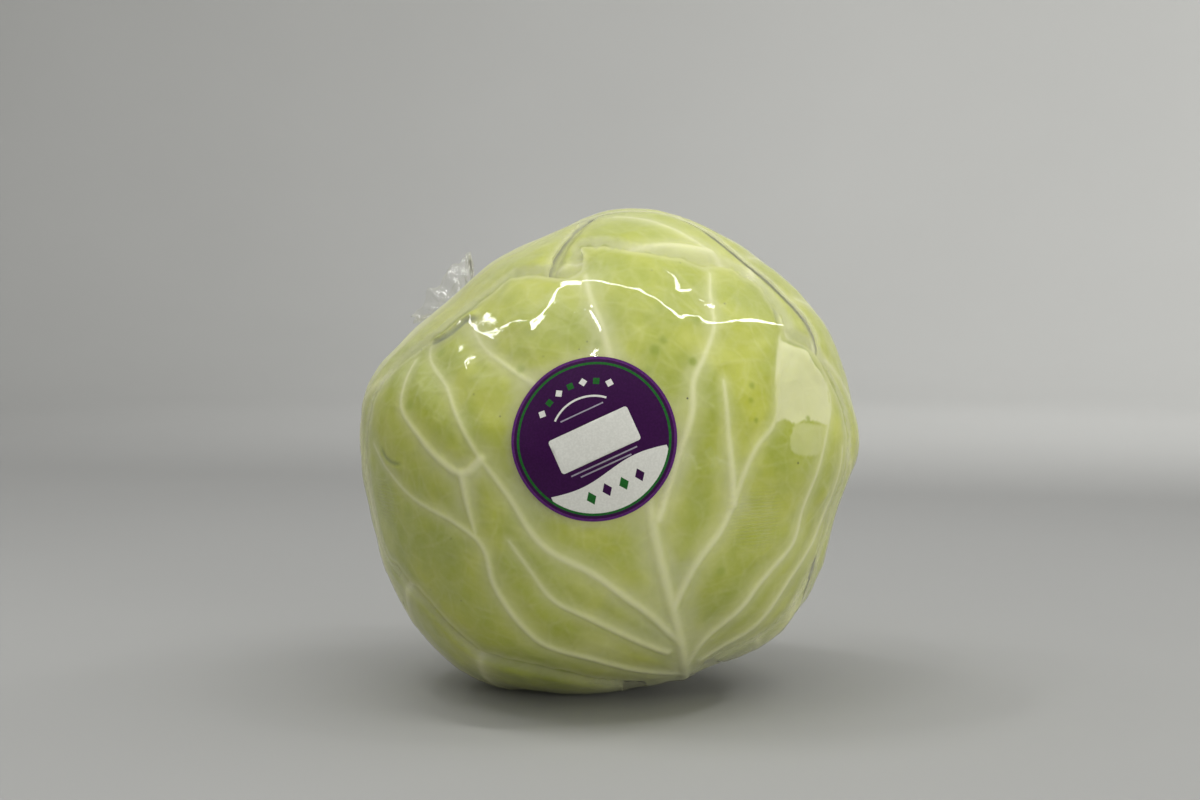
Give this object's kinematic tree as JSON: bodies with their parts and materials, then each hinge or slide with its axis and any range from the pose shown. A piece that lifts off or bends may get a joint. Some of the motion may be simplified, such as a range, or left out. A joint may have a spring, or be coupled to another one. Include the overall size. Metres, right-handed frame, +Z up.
{
  "type": "green cabbage",
  "caption": "Round head of green cabbage with ribbed wrapper leaves and a cut stem, wrapped in tight clear film with a round label on the front.",
  "frame": {"origin": "middle of the small flat that the head rests on, at the underside of the film", "axes": "+Z up, -Y towards the front of the head with the label, +X to the right seen from the front; the cut stem points down and to +X"},
  "size_m": [0.1807, 0.1756, 0.1744],
  "materials": {
    "heart_leaf": "pale waxy leaf",
    "stem": "cut stem, pale and fibrous",
    "leaf": "smooth waxy leaf with pale ribs",
    "film": "clear stretch film",
    "label": "printed plastic label"
  },
  "bodies": {
    "root": {"heart": "heart_leaf", "stem": "stem", "leaf_1": "leaf", "leaf_2": "leaf", "leaf_3": "leaf", "leaf_4": "leaf", "leaf_5": "leaf", "film": "film", "label": "label"}
  },
  "joints": []
}
